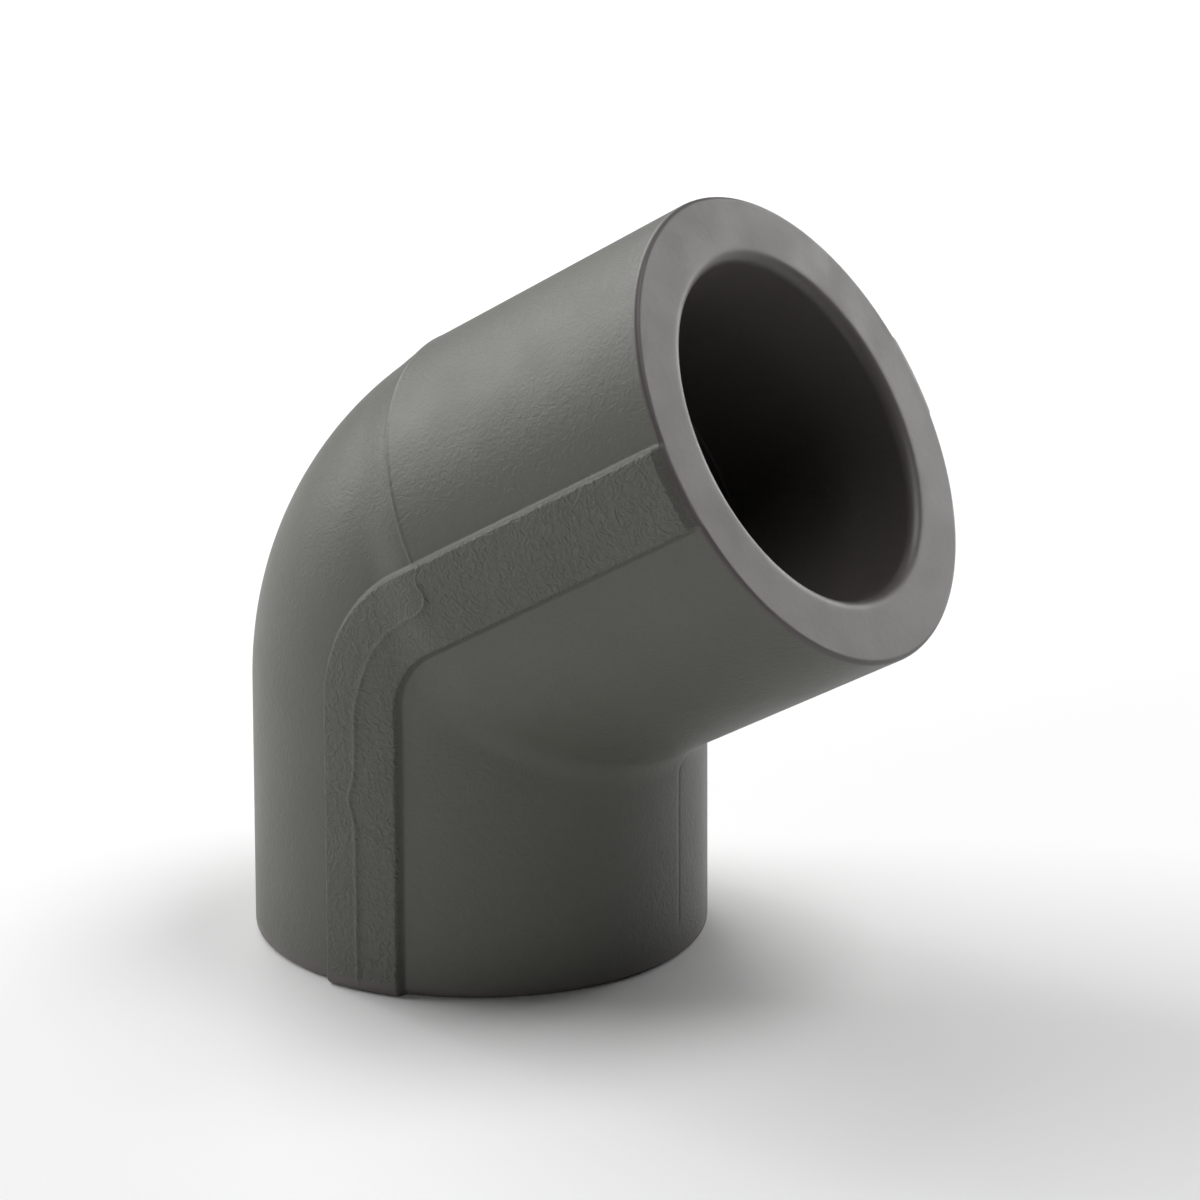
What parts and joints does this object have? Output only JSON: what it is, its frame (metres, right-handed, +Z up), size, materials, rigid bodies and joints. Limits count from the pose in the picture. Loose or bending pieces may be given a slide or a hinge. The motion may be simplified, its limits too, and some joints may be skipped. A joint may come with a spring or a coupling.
{
  "type": "pvc elbow fitting",
  "caption": "Obtuse pipe elbow with a plain socket at each end, a rounded heel and a raised band along each side, for joining plastic pipe at a sixty-degree turn.",
  "frame": {"origin": "centre of the lower end face, where the lower socket's axis meets it", "axes": "+Z up the lower socket's axis into the fitting; the upper socket's axis leans from +Z towards +X by sixty degrees; +Y completes the right-handed frame and is square to the plane of the bend"},
  "size_m": [0.0541, 0.0382, 0.0587],
  "materials": {
    "grey_plastic": "matte moulded plastic, spark-eroded on the side bands"
  },
  "bodies": {
    "root": {"elbow_body": "grey_plastic"}
  },
  "joints": []
}
